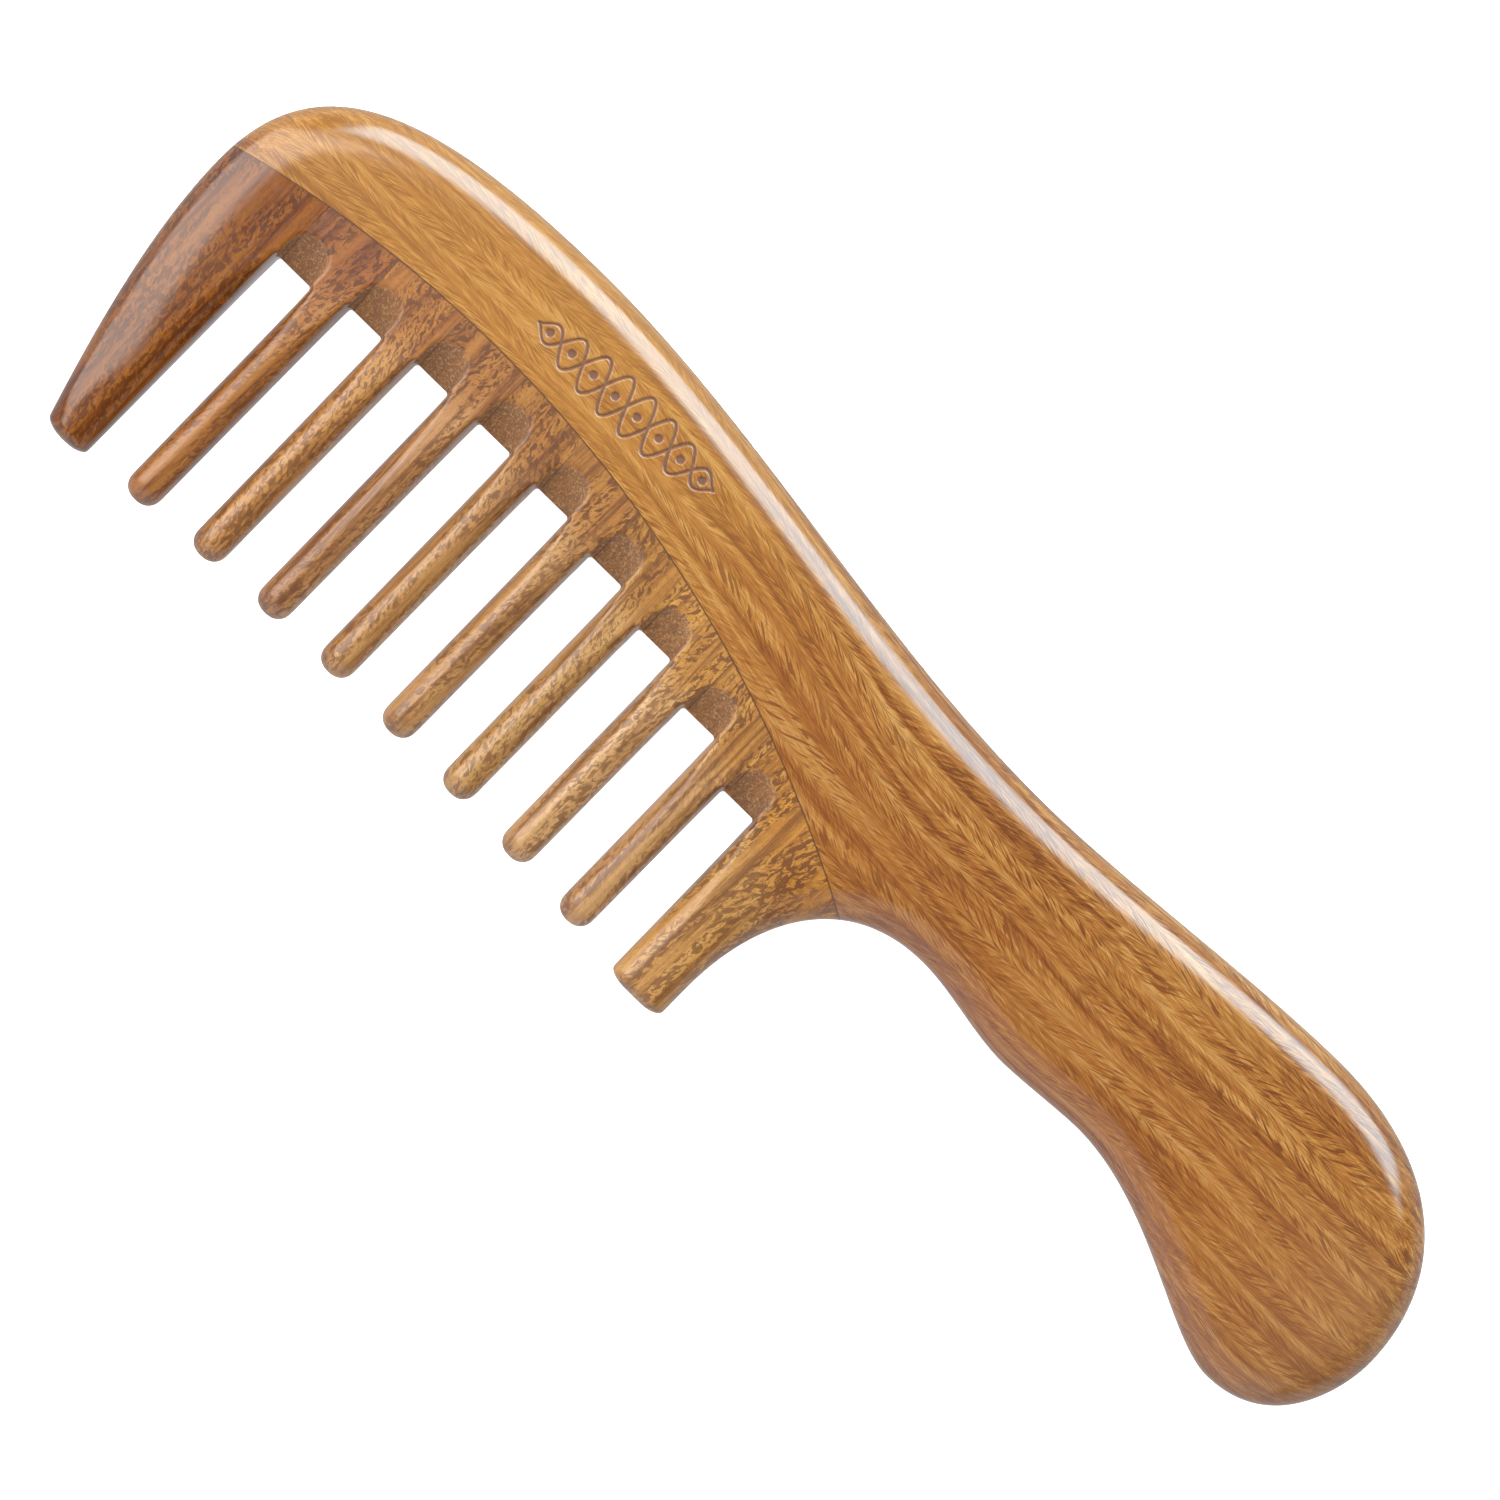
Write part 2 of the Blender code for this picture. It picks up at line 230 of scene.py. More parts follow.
PORE_CROWD = (0.35, 0.58, 0.3, 1.0)
PORE_COLOUR = (0.18, 0.044, 0.007)
PORE_SHARE = 0.85
CROWD_SLICE = 3.0

# Where the plank is more golden, redder or duller: from and to in x, from and to in y or in ribbon
# level, how much, and the colour.
GOLDEN = ((10.0, -50.0), (8.0, 15.0), 0.30, (0.66, 0.30, 0.060))
REDDER = ((-30.0, 0.0), (21.0, 14.0), 0.25, (0.36, 0.105, 0.016))
DULLER = ((70.0, 100.0), (16.0, 6.0), 0.22, (0.36, 0.22, 0.12))

# Wood of the ten cross-grain pieces, from the front guard to the rear one: main colour, how far the
# flecks darken it, and how dense they are.
TOOTH_TONES = [
    ((0.295, 0.082, 0.005), 0.75, 0.49),
    ((0.437, 0.153, 0.028), 0.75, 0.51),
    ((0.541, 0.227, 0.056), 0.75, 0.51),
    ((0.510, 0.221, 0.070), 0.75, 0.52),
    ((0.520, 0.232, 0.063), 0.75, 0.51),
    ((0.530, 0.243, 0.074), 0.75, 0.51),
    ((0.551, 0.265, 0.077), 0.75, 0.52),
    ((0.666, 0.340, 0.122), 0.78, 0.51),
    ((0.582, 0.281, 0.093), 0.78, 0.51),
    ((0.593, 0.270, 0.063), 0.78, 0.48),
]
TOOTH_SEED = 17.3
GRAIN_LEAN = 0.03
MARK_SLANT = 0.22
BEND_SIZE = 1.6
MARK_EDGE = 0.05
MARK_SHARES = (0.15, 1.0)
SPECK_EDGE = (0.56, 0.61)
SPECK_SHARES = (0.40, 0.90)
SPECK_DEPTH = 0.80
CROWD_EDGE = (0.36, 0.52)
BAND_WEIGHT = 1.4
TOOTH_STREAK_WEIGHT = 1.5
TOOTH_FIBRE_WEIGHT = 0.55
TOOTH_TONE_SHIFT = 1.225
TONE_STOPS = (0.15, 0.5, 0.85)
DARK_SHADE = (0.50, 0.40, 0.34)
PALE_SHADE = (1.18, 1.32, 1.65)
FLECK_SHADE = (0.34, 0.26, 0.28)
WEB_HEIGHTS = (-12.0, -4.0)
WEB_FLECKS = 0.15
WEB_SHARE = 0.9
FRONT_WEB_SHARE = 0.3
WEB_SHADE_FRONT = (0.70, 0.49, 0.10)
WEB_SHADE_REAR = (0.86, 0.68, 0.18)
DUST_EDGE = (0.48, 0.66)
DUST_DARK = (0.30, 0.138, 0.054)
DUST_PALE = (0.60, 0.38, 0.20)
DUST_SHARE = 0.72

# Camera: a view square on from above, turned as in the photograph.
CAMERA_SPOT = (-4.75, 1.17)
CAMERA_TURN = math.radians(44.3)
CAMERA_RANGE = 1000.0
VIEW_WIDTH = 180.29
SENSOR = 36.0

# Floor and room. The room is darker overhead, between these heights of the view direction.
FLOOR_SIZE = 4.0
FLOOR_GAP = 0.02
FLOOR_SHADE = 0.9
FLOOR_ROUGHNESS = 0.9
FLOOR_GLOW = 1.0
ROOM_LOW = 0.62
ROOM_OVERHEAD = 0.10
ROOM_HEIGHTS = (-0.1, 0.4)

# Softboxes: azimuth from +X in the comb's plane and elevation in degrees, distance and size in
# metres, power in watts, colour, and whether they show as a reflection in the finish.
COOL = (0.67, 0.90, 1.0)
NEUTRAL = (1.0, 0.97, 0.92)
WARM = (1.0, 0.88, 0.74)
SOFTBOXES = [
    ("back_softbox", 92.0, 34.0, 0.9, (1.13, 0.66), 11.9, COOL, True),
    ("side_softbox", 178.0, 42.0, 0.9, (0.7, 1.2), 5.2, NEUTRAL, True),
    ("front_softbox", -90.0, 30.0, 1.1, (2.2, 1.3), 4.6, NEUTRAL, True),
    ("overhead_fill", 90.0, 89.9, 1.3, (1.6, 1.6), 7.0, WARM, False),
]


def lerp(a, b, t):
    return a + (b - a) * t


def smoothstep(low, high, value):
    t = np.clip((value - low) / (high - low), 0.0, 1.0)
    return t * t * (3.0 - 2.0 * t)


def arc_y(arc, x):
    peak_x, peak_y, radius = arc
    return peak_y - radius + np.sqrt(np.maximum(radius**2 - (x - peak_x) ** 2, 0.0))


def tooth_centre(number):
    return FIRST_TOOTH + PITCH * (number - 1)


def gap_sides(number):
    """x of the left and right wall of a slot. Slot 1 is next to the front guard."""
    left = FRONT_GUARD_INNER if number == 1 else tooth_centre(number - 1) + ROOT_WIDTH / 2
    right = REAR_GUARD_INNER if number == TEETH + 1 else tooth_centre(number) - ROOT_WIDTH / 2
    return left, right


def seam(number):
    return gap_sides(number)[0] + SEAM_INSET


def slot_middle(number):
    return sum(gap_sides(number)) / 2


def slot_end(number):
    return arc_y(SLOT_END_ARC, slot_middle(number))


# ---- The rim as a map of distances ------------------------------------------------------------


def rim_stretch(start, end):
    """Closely spaced points between two knots, the same curve as in the CAD model."""
    x0, y0, heading0, _, reach0 = start
    x3, y3, heading3, reach3, _ = end
    x1 = x0 + reach0 * math.cos(math.radians(heading0))
    y1 = y0 + reach0 * math.sin(math.radians(heading0))
    x2 = x3 - reach3 * math.cos(math.radians(heading3))
    y2 = y3 - reach3 * math.sin(math.radians(heading3))
    t = np.linspace(0.0, 1.0, RIM_SAMPLES, endpoint=False)
    a, b, c, d = (1 - t) ** 3, 3 * t * (1 - t) ** 2, 3 * t * t * (1 - t), t**3
    return np.column_stack((a * x0 + b * x1 + c * x2 + d * x3, a * y0 + b * y1 + c * y2 + d * y3))


def straight(start, end):
    t = np.linspace(0.0, 1.0, RIM_SAMPLES // 3, endpoint=False)[:, None]
    return lerp(np.array(start), np.array(end), t)


def rim_map():
    """Distance in from the rim on a flat grid, below zero outside."""
    x, y, heading = FRONT_TIP[:3]
    run_out = (y - BELOW_TIPS) / math.tan(math.radians(heading))
    stretches = [straight((x - run_out, BELOW_TIPS), (x, y))]
    stretches += [rim_stretch(a, b) for a, b in zip(KNOTS, KNOTS[1:])]
    stretches += [straight(REAR_TIP[:2], (REAR_TIP[0], BELOW_TIPS))]
    curve = np.concatenate(stretches)
    along = np.gradient(curve, axis=0)
    along /= np.linalg.norm(along, axis=1)[:, None]
    inward = np.column_stack((along[:, 1], -along[:, 0]))
    tree = kdtree.KDTree(len(curve))
    for index, (px, py) in enumerate(curve):
        tree.insert((px, py, 0.0), index)
    tree.balance()
    xs = np.arange(LEFT_END - RIM_MARGIN, RIGHT_END + RIM_MARGIN, RIM_GRID)
    ys = np.arange(TIP_LINE - RIM_MARGIN, BACK_EDGE + RIM_MARGIN, RIM_GRID)
    nearest = [[tree.find((px, py, 0.0))[1] for py in ys] for px in xs]
    nearest = np.array(nearest)
    offset = np.stack(np.meshgrid(xs, ys, indexing="ij"), axis=-1) - curve[nearest]
    side = np.sign((offset * inward[nearest]).sum(axis=-1))
    return xs[0], ys[0], side * np.linalg.norm(offset, axis=-1)


RIM_X, RIM_Y, RIM_MAP = rim_map()


def cubic_weights(t):
    """Weights of the four neighbours in a smooth interpolation."""
    return (
        ((-0.5 * t + 1.0) * t - 0.5) * t,
        (1.5 * t - 2.5) * t * t + 1.0,
        ((-1.5 * t + 2.0) * t + 0.5) * t,
        (0.5 * t - 0.5) * t * t,
    )


def rim_distance(x, y):
    """Distance in from the rim, read from the map between its points."""
    x, y = np.broadcast_arrays(x, y)
    u = np.clip((x - RIM_X) / RIM_GRID, 1.0, RIM_MAP.shape[0] - 3.001)
    v = np.clip((y - RIM_Y) / RIM_GRID, 1.0, RIM_MAP.shape[1] - 3.001)
    i, j = u.astype(int), v.astype(int)
    weights_u, weights_v = cubic_weights(u - i), cubic_weights(v - j)
    total = 0.0
    for a in range(4):
        row = 0.0
        for b in range(4):
            row = row + weights_v[b] * RIM_MAP[i + a - 1, j + b - 1]
        total = total + weights_u[a] * row
    return total


# ---- The comb as a field, below zero inside ------------------------------------------------------


def rounded_max(a, b, radius):
    """What is inside both, with the edge where they meet rounded."""
    p, q = a + radius, b + radius
    return np.minimum(np.maximum(p, q), 0.0) + np.hypot(np.maximum(p, 0), np.maximum(q, 0)) - radius


def half_thickness(x, y):
    """The comb gets thinner below the roots of the teeth."""
    down = np.maximum(TAPER_START - y, 0.0)
    full = TAPER_START - TIP_LINE
    share = down**2 / (down + TAPER_EASE) * (full + TAPER_EASE) / full**2
    thinned = lerp(1.0, TIP_THICKNESS_SHARE, share)
    return MIDDLE * np.where(x < REAR_LIMIT, thinned, 1.0)


def slots(x, y):
    """Above zero in the slots and past the ends of the teeth."""
    total = -FAR
    for number in range(1, TEETH + 2):
        left, right = gap_sides(number)
        end = slot_end(number)
        down = np.clip((end - y) / (end - TIP_LINE), 0.0, 1.0)
        half = (right - left) / 2 + (ROOT_WIDTH - TIP_WIDTH) / 2 * down
        across = np.abs(x - (left + right) / 2) - half
        total = np.maximum(total, -rounded_max(across, y - end, SLOT_CORNER))
    return total


def tooth_tips(x, y):
    """Above zero past the rounded ends of the slim teeth."""
    total = -FAR
    radius = TIP_WIDTH / 2
    for number in range(1, TEETH + 1):
        centre = tooth_centre(number)
        low = arc_y(TIP_ARC, centre) + radius
        dx, dy = np.abs(x - centre), np.maximum(low - y, 0.0)
        past = (dx**TIP_SQUARENESS + dy**TIP_SQUARENESS) ** (1 / TIP_SQUARENESS) - radius
        near = (dx < PITCH / 2) & (y < low)
        total = np.maximum(total, np.where(near, past, -FAR))
    return total


def past_guard_ends(x, y):
    """Above zero past the flat ends of the guards."""
    first, last = slot_middle(1), slot_middle(TEETH + 1)
    return np.where((x < first) | ((x > last) & (x < REAR_LIMIT)), TIP_LINE - y, -FAR)


def over_slot_ends(x, y):
    """Height over the arc that the slots end on."""
    return y - arc_y(SLOT_END_ARC, np.clip(x, LEFT_END, REAR_TIP[0]))


def slot_edge_reach(x, y):
    """How far in from a slot the rounding of the edge reaches."""
    first, last = slot_middle(1), slot_middle(TEETH + 1)
    slim = smoothstep(first - GUARD_BLEND, first + GUARD_BLEND, x)
    slim = slim * smoothstep(last + GUARD_BLEND, last - GUARD_BLEND, x)
    full = lerp(GUARD_REACH, TOOTH_REACH, slim)
    height = over_slot_ends(x, y)
    up = np.clip((height - ROUNDING_BELOW) / (ROUNDING_ABOVE - ROUNDING_BELOW), 0.0, 1.0)
    return lerp(full, ROOT_REACH, up**ROUNDING_EASE)


def rim_reach(x, y):
    """How far in from the rim the rounding of the edge reaches: less at the guards' tips."""
    share = np.where(x < REAR_LIMIT, smoothstep(*TIP_RIM_HEIGHTS, y), 0.0)
    return lerp(RIM_REACH, TIP_RIM_REACH, share)


def scoops(x, y, from_middle):
    """Below zero in the scoops, which run down towards the slots from both faces."""
    total = FAR
    slanted = y + (MIDDLE - from_middle) * SCOOP_RISE / SCOOP_DEPTH
    for number in range(1, TEETH + 2):
        left, right = gap_sides(number)
        radius = (right - left) / 2
        up = np.maximum(slanted - (slot_end(number) + SCOOP_RISE - radius), 0.0)
        total = np.minimum(total, np.hypot(x - (left + right) / 2, up) - radius)
    return total


def sanded_body(x, y, z):
    """The comb without its slots: below 1 inside, above 1 outside."""
    side = np.maximum(1.0 - rim_distance(x, y) / rim_reach(x, y), 0.0)
    face = np.abs(z - MIDDLE) / half_thickness(x, y)
    return (side**RIM_FULLNESS + face**RIM_FULLNESS) ** (1 / RIM_FULLNESS)


def field(x, y, z):
    p = SLOT_FULLNESS
    flat = np.maximum(slots(x, y), tooth_tips(x, y))
    side = np.maximum(1.0 + flat / slot_edge_reach(x, y), 0.0)
    end = np.maximum(1.0 + past_guard_ends(x, y) / GUARD_END_REACH, 0.0)
    level = (side**p + end**p + sanded_body(x, y, z) ** p) ** (1 / p)
    solid = half_thickness(x, y) * (level - 1.0)
    return rounded_max(solid, -scoops(x, y, np.abs(z - MIDDLE)), SCOOP_EDGE)


def slope(points):
    """The field and its gradient at each point."""
    x, y, z = points.T
    step = SLOPE_STEP
    rise = [
        field(x + step, y, z) - field(x - step, y, z),
        field(x, y + step, z) - field(x, y - step, z),
        field(x, y, z + step) - field(x, y, z - step),
    ]
    return field(x, y, z), np.column_stack(rise) / (2 * step)


# ---- Nets over the field -------------------------------------------------------------------------


def net(low, high, pitch):
    """Points and four-sided faces of the surface in a box, as arrays."""
    axes = [np.arange(a, b + pitch, pitch) for a, b in zip(low, high)]
    x, y, z = np.meshgrid(*axes, indexing="ij", sparse=True)
    values = field(x, y, z)
    cells = [n - 1 for n in values.shape]
    total = np.zeros((*cells, 3))
    count = np.zeros(cells)
    crossings = []
    for axis in range(3):
        near = values[tuple(slice(0, -1) if i == axis else slice(None) for i in range(3))]
        far = values[tuple(slice(1, None) if i == axis else slice(None) for i in range(3))]
        where = np.argwhere((near < 0) != (far < 0))
        a, b = near[tuple(where.T)], far[tuple(where.T)]
        spot = where.astype(float)
        spot[:, axis] += a / (a - b)
        crossings.append((where, a < 0))
        others = [i for i in range(3) if i != axis]
        for first in (0, 1):
            for second in (0, 1):
                cell = where.copy()
                cell[:, others[0]] -= first
                cell[:, others[1]] -= second
                fits = ((cell >= 0) & (cell < cells)).all(axis=1)
                index = tuple(cell[fits].T)
                np.add.at(total, index, spot[fits])
                np.add.at(count, index, 1.0)
    used = count > 0
    number = np.full(cells, -1)
    number[used] = np.arange(used.sum())
    points = total[used] / count[used][:, None] * pitch + [axis[0] for axis in axes]
    faces = []
    for axis, (where, inside) in enumerate(crossings):
        u, v = [(1, 2), (2, 0), (0, 1)][axis]
        corners = []
        for du, dv in ((0, 0), (1, 0), (1, 1), (0, 1)):
            cell = where.copy()
            cell[:, u] -= du
            cell[:, v] -= dv
            fits = ((cell >= 0) & (cell < cells)).all(axis=1)
            cell = np.clip(cell, 0, np.array(cells) - 1)
            corners.append(np.where(fits, number[tuple(cell.T)], -1))
        quads = np.column_stack(corners)
        quads[~inside] = quads[~inside][:, ::-1]
        faces.append(quads[(quads >= 0).all(axis=1)])
    return points, np.concatenate(faces)


def settle(points, faces, pitch):
    """Evens the net out and puts its points on the surface."""
    ends = np.concatenate([faces[:, [i, (i + 1) % 4]] for i in range(4)])
    for _ in range(SETTLE_ROUNDS):
        total = np.zeros_like(points)
        count = np.zeros(len(points))
        for a, b in ((0, 1), (1, 0)):
            np.add.at(total, ends[:, a], points[ends[:, b]])
            np.add.at(count, ends[:, a], 1.0)
        centre = total / np.maximum(count, 1.0)[:, None]
        gradient = slope(points)[1]
        normal = gradient / np.maximum(np.linalg.norm(gradient, axis=1), TINY)[:, None]
        shift = centre - points
        shift -= (shift * normal).sum(axis=1)[:, None] * normal
        points = points + SETTLE_SHARE * shift
        for _ in range(SETTLE_PUSHES):
            value, gradient = slope(points)
            length = np.maximum((gradient**2).sum(axis=1), LEAST_SLOPE)
            move = -(value / length)[:, None] * gradient
            size = np.linalg.norm(move, axis=1)[:, None]
            points = points + move * np.minimum(1.0, 0.5 * pitch / np.maximum(size, TINY))
    return points


def skin(low, high, pitch, keep):
    """The comb's surface in a box as a bmesh, without the faces where keep says no."""
    points, faces = net(low, high, pitch)
    points = settle(points, faces, pitch)
    faces = faces[keep(points)[faces].any(axis=1)]
    used = np.unique(faces)
    renumber = np.zeros(len(points), dtype=int)
    renumber[used] = np.arange(len(used))
    mesh = bpy.data.meshes.new("net")
    mesh.from_pydata(points[used].tolist(), [], renumber[faces].tolist())
    shape = bmesh.new()
    shape.from_mesh(mesh)
    bpy.data.meshes.remove(mesh)
    return shape


# ---- Cutting the pieces apart --------------------------------------------------------------------


def straighten_joint(shape, direction):
    """Shifts every point so that the joint arc becomes a flat plane, or back again."""
    for vertex in shape.verts:
        vertex.co.y -= direction * arc_y(JOINT_ARC, vertex.co.x)


def cut(shape, spot, outward):
    """Cuts away what lies outward of a plane and returns the open edges of the cut."""
    geometry = shape.verts[:] + shape.edges[:] + shape.faces[:]
    result = bmesh.ops.bisect_plane(
        shape, geom=geometry, dist=CUT_TOLERANCE, plane_co=spot, plane_no=outward,
        clear_outer=True,
    )
    return [item for item in result["geom_cut"] if isinstance(item, bmesh.types.BMEdge)]


def close(shape, edges):
    bmesh.ops.triangle_fill(shape, use_beauty=True, use_dissolve=False, edges=edges)


def socket(shape, level, depth, left, right, half):
    """Walls and end of a tongue or a groove that starts in a cut. Returns its first edges."""
    steps = max(2, math.ceil((right - left) / TONGUE_STEP))
    xs = [lerp(left, right, i / steps) for i in range(steps + 1)]
    path = [(x, MIDDLE - half) for x in xs] + [(x, MIDDLE + half) for x in reversed(xs)]
    mouth = [shape.verts.new((x, level, z)) for x, z in path]
    end = [shape.verts.new((x, depth, z)) for x, z in path]
    count = len(path)
    for i in range(count):
        j = (i + 1) % count
        shape.faces.new((mouth[i], mouth[j], end[j], end[i]))
    for i in range(steps):
        shape.faces.new((end[i], end[i + 1], end[count - 2 - i], end[count - 1 - i]))
    return [shape.edges.get((mouth[i], mouth[(i + 1) % count])) for i in range(count)]


def finish_piece(name, shape, node, material):
    """Turns a cut bmesh into the piece that stands for a CAD node."""
    bmesh.ops.remove_doubles(shape, verts=shape.verts, dist=WELD)
    bmesh.ops.dissolve_degenerate(shape, edges=shape.edges, dist=WELD)
    bmesh.ops.recalc_face_normals(shape, faces=shape.faces)
    bmesh.ops.scale(shape, verts=shape.verts, vec=(MM, MM, MM))
    mesh = bpy.data.meshes.new(name)
    shape.to_mesh(mesh)
    shape.free()
    mesh.shade_smooth()
    mesh.set_sharp_from_angle(angle=SHARP_ANGLE)
    mark_surface(mesh)
    piece = bpy.data.objects.new(name, mesh)
    bpy.context.scene.collection.objects.link(piece)
    mesh.materials.append(material)
    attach(piece, "root")
    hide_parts(node)


def mark_surface(mesh):
    """Stores, for the wood, where the raw sanded scoops and the engraved lines are."""
    points = np.empty(len(mesh.vertices) * 3)
    mesh.vertices.foreach_get("co", points)
    x, y, z = points.reshape(-1, 3).T / MM
    near = scoops(x, y, np.abs(z - MIDDLE))
    inside = MIDDLE * (sanded_body(x, y, z) - 1.0)
    raw = smoothstep(*RAW_OUT, near) * smoothstep(*RAW_INSIDE, inside)
    raw = raw * smoothstep(*RAW_HEIGHTS, over_slot_ends(x, y))
    cut_in = groove(x, y) * (z > THICKNESS - TOP_LAYER)
    for name, values in (("scoop", raw), ("engraved", cut_in)):
        attribute = mesh.attributes.new(name, "FLOAT", "POINT")
        attribute.data.foreach_set("value", values.astype(np.float32))


def make_plank(material):
    """The spine and handle, above the joint."""
    margin = BOX_MARGIN
    low = (LEFT_END - margin, HEEL[1] - 2 * margin, -margin)
    high = (RIGHT_END + margin, BACK_EDGE + margin, THICKNESS + margin)
    shape = skin(low, high, PLANK_PITCH, lambda p: above_joint(p) > -NET_MARGIN)
    straighten_joint(shape, 1)
    edges = cut(shape, (0, GLUE_HALF_GAP, 0), (0, -1, 0))
    level, depth = GLUE_HALF_GAP, TONGUE_DEPTH + FIT_GAP
    edges += socket(shape, level, depth, GROOVE_START, GROOVE_END, TONGUE_HALF + FIT_GAP)
    close(shape, edges)
    straighten_joint(shape, -1)
    engrave(shape)
    finish_piece("fine_spine_and_handle", shape, "spine_and_handle", material)


def engrave(shape):
    """Refines the spine's face round the ornament and sinks its lines into it."""
    half_length = ORNAMENT_LENGTH / 2 + ORNAMENT_MARGINS[0]
    half_height = ORNAMENT_SWING + ORNAMENT_MARGINS[1]
    middle_x, middle_y = ORNAMENT_SPOT
    patch = [
        face for face in shape.faces
        if face.normal.z > TOP_FACING
        and abs(face.calc_center_median().x - middle_x) < half_length
        and abs(face.calc_center_median().y - middle_y) < half_height
    ]
    edges = list({edge for face in patch for edge in face.edges})
    bmesh.ops.subdivide_edges(shape, edges=edges, cuts=ORNAMENT_CUTS, use_grid_fill=True)
    for vertex in shape.verts:
        if vertex.co.z > MIDDLE:
            vertex.co.z -= ORNAMENT_DEPTH * float(groove(vertex.co.x, vertex.co.y))


def groove(x, y):
    """How deep the ornament is cut at a point, from 0 to 1: two interlaced waves with dots."""
    along = x - ORNAMENT_SPOT[0]
    up = y - ORNAMENT_SPOT[1]
    share = np.clip(along / ORNAMENT_LENGTH + 0.5, 0.0, 1.0)
    swing = ORNAMENT_SWING * np.sin(math.pi * share) ** 0.5
    turn = 2 * math.pi * ORNAMENT_WAVES * share
    steep = np.hypot(1.0, swing * 2 * math.pi * ORNAMENT_WAVES / ORNAMENT_LENGTH * np.cos(turn))
    wave = swing * np.sin(turn)
    beyond = np.maximum(np.abs(along) - ORNAMENT_LENGTH / 2, 0.0)
    one = np.hypot((up - wave) / steep, beyond)
    other = np.hypot((up + wave) / steep, beyond)
    spacing = ORNAMENT_LENGTH / ORNAMENT_WAVES / 2
    nearest = (np.floor(along / spacing) + 0.5) * spacing
    inside = np.abs(nearest) < ORNAMENT_LENGTH / 2
    dot = np.where(inside, np.hypot(along - nearest, up) - ORNAMENT_DOT, FAR)
    line = np.minimum(np.minimum(one, other), np.maximum(dot, 0.0))
    return smoothstep(ORNAMENT_LINE, ORNAMENT_LINE * ORNAMENT_FLOOR, line)


def above_joint(points):
    return points[:, 1] - arc_y(JOINT_ARC, points[:, 0])


def make_cross_piece(node, sides, limits, tongue, material):
    """A tooth or a guard: cut at its seams, where it has any, and at the joint."""
    left, right = sides
    low = (limits[0], TIP_LINE - BOX_MARGIN, -BOX_MARGIN)
    high = (limits[1], JOINT_ARC[1] + NET_MARGIN, THICKNESS + BOX_MARGIN)
    shape = skin(low, high, TOOTH_PITCH, lambda p: above_joint(p) < NET_MARGIN)
    if left is not None:
        close(shape, cut(shape, (left + GLUE_HALF_GAP, 0, 0), (-1, 0, 0)))
    if right is not None:
        close(shape, cut(shape, (right - GLUE_HALF_GAP, 0, 0), (1, 0, 0)))
    straighten_joint(shape, 1)
    edges = cut(shape, (0, -GLUE_HALF_GAP, 0), (0, 1, 0))
    edges += socket(shape, -GLUE_HALF_GAP, TONGUE_DEPTH, *tongue, TONGUE_HALF)
    close(shape, edges)
    straighten_joint(shape, -1)
    finish_piece("fine_" + node, shape, node, material)


def make_pieces():
    make_plank(plank_wood())
    first, last = seam(1), seam(TEETH + 1)
    side = 2 * GLUE_HALF_GAP
    make_cross_piece(
        "front_guard_tooth", (None, first), (LEFT_END - BOX_MARGIN, first + NET_MARGIN),
        (FRONT_TONGUE_START, first - side), tooth_wood(0),
    )
    for number in range(1, TEETH + 1):
        left, right = seam(number), seam(number + 1)
        make_cross_piece(
            f"tooth_{number}", (left, right), (left - NET_MARGIN, right + NET_MARGIN),
            (left + side, right - side), tooth_wood(number),
        )
    make_cross_piece(
        "rear_guard_tooth", (last, None), (last - NET_MARGIN, NECK[0] + BOX_MARGIN),
        (last + side, REAR_TONGUE_END), tooth_wood(TEETH + 1),
    )


# ---- Wood ----------------------------------------------------------------------------------------


